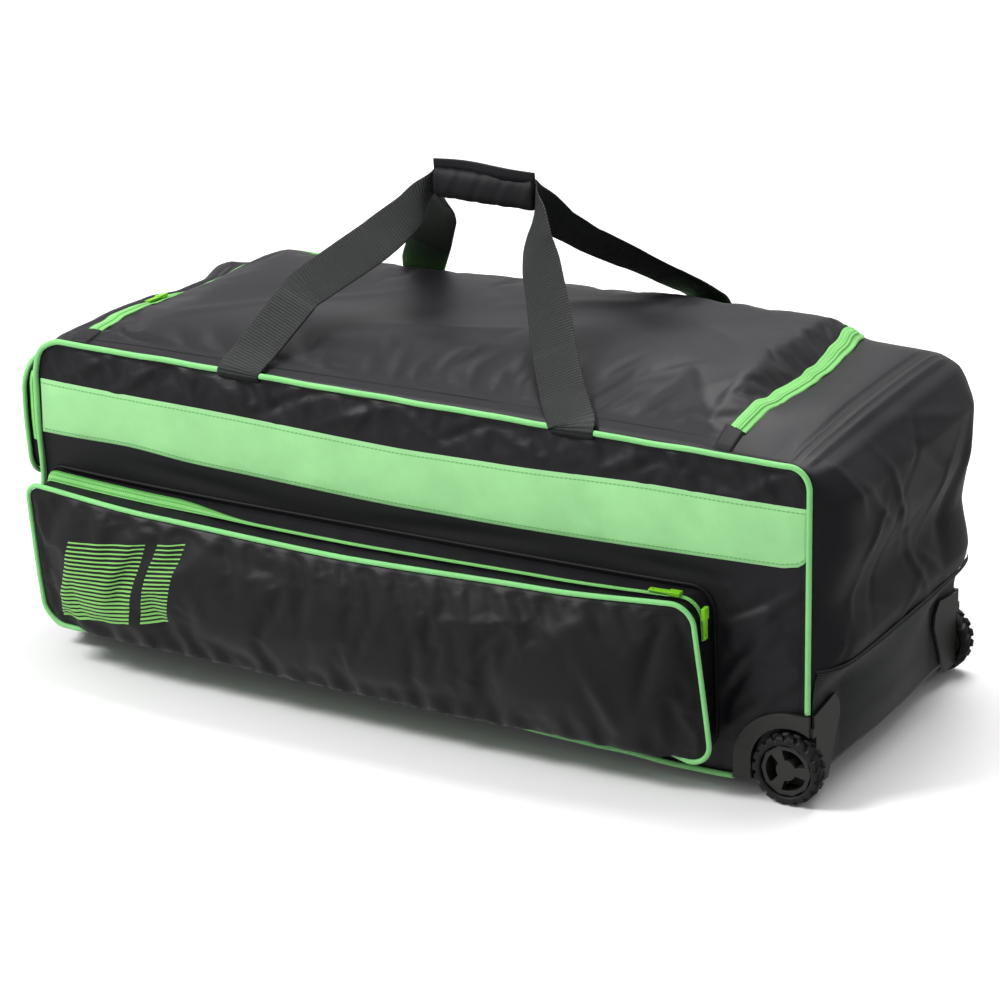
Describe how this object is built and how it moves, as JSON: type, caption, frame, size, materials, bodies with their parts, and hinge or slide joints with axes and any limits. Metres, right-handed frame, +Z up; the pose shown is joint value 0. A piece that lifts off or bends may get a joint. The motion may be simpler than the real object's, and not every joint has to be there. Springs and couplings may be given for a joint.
{
  "type": "wheeled sports kit bag",
  "caption": "Long soft box-shaped kit bag with a zipped lid, gusseted front and end pockets, webbing carry handles, a skid panel and corner wheels at one end.",
  "frame": {"origin": "on the floor under the middle of the whole bag's bounding box", "axes": "+X along the length towards the wheels, -Y towards the front pocket, +Z up"},
  "size_m": [0.9764, 0.4702, 0.5612],
  "materials": {
    "fabric": "coated woven polyester, soft low sheen",
    "lime_fabric": "plain woven panel, matte",
    "lime_cord": "bound piping cord, light sheen",
    "lime_zip": "woven zip tape with coil",
    "zip_pull": "moulded, bright",
    "webbing": "ribbed webbing, matte",
    "skid": "heavy ribbed woven panel",
    "plastic": "moulded, fine grain",
    "tyre": "matte, lugged"
  },
  "bodies": {
    "bag": {"body_shell": "fabric", "lid": "fabric", "lid_zip": "lime_zip", "front_piping": "lime_cord", "back_piping": "lime_cord", "front_band": "lime_fabric", "front_pocket": "fabric", "pocket_piping": "lime_cord", "pocket_zip": "lime_zip", "pocket_slider_left": "zip_pull", "pocket_slider_right": "zip_pull", "lid_zip_slider": "zip_pull", "end_pocket": "fabric", "end_pocket_piping": "lime_cord", "end_pocket_zip": "lime_zip", "handle_strap_front": "webbing", "handle_strap_back": "webbing", "grip_wrap": "fabric", "skid_panel": "skid", "wheel_housing_front": "plastic", "wheel_housing_back": "plastic"},
    "wheel_front": {"wheel_tyre_front": "tyre", "wheel_hub_front": "plastic"},
    "wheel_back": {"wheel_tyre_back": "tyre", "wheel_hub_back": "plastic"}
  },
  "joints": [
    {"name": "wheel_front_spin", "type": "hinge", "parent": "bag", "child": "wheel_front", "pos_m": [0.44041, -0.16093, 0.03797], "axis": [0, 1, 0], "continuous": true},
    {"name": "wheel_back_spin", "type": "hinge", "parent": "bag", "child": "wheel_back", "pos_m": [0.44041, 0.22407, 0.03797], "axis": [0, 1, 0], "continuous": true}
  ]
}
